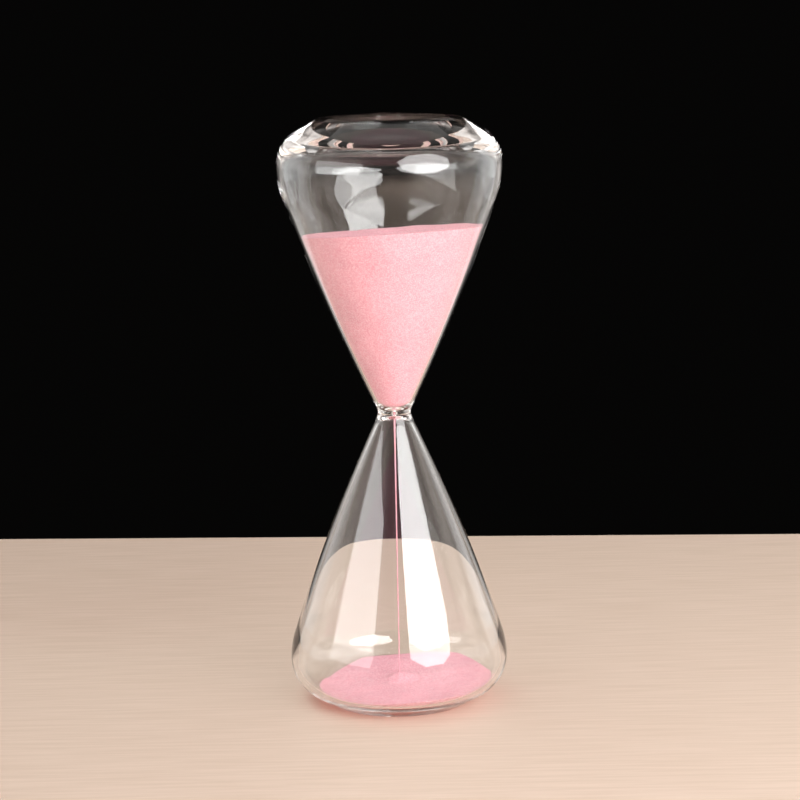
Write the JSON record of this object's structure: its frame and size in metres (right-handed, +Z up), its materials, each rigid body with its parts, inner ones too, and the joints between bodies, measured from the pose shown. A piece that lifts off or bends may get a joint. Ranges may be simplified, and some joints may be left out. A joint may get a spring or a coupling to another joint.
{
  "type": "hourglass",
  "caption": "Frameless hourglass: clear blown-glass bulbs joined at a narrow waist, flat ends to stand on, and pink sand running through to time an interval.",
  "frame": {"origin": "middle of the lower flat end, on the surface the hourglass stands on", "axes": "+Z up along the glass's axis, +X to the right seen from the front, -Y towards the front"},
  "size_m": [0.0916, 0.0916, 0.24],
  "materials": {
    "clear_glass": "clear, fire-polished",
    "pink_sand": "fine dyed quartz sand, matt with a slight sparkle"
  },
  "bodies": {
    "root": {"upper_bulb": "clear_glass", "lower_bulb": "clear_glass", "neck_waist": "clear_glass", "top_disc": "clear_glass", "base_disc": "clear_glass", "fill_seal": "clear_glass", "upper_sand": "pink_sand", "sand_stream": "pink_sand", "lower_sand": "pink_sand"}
  },
  "joints": []
}
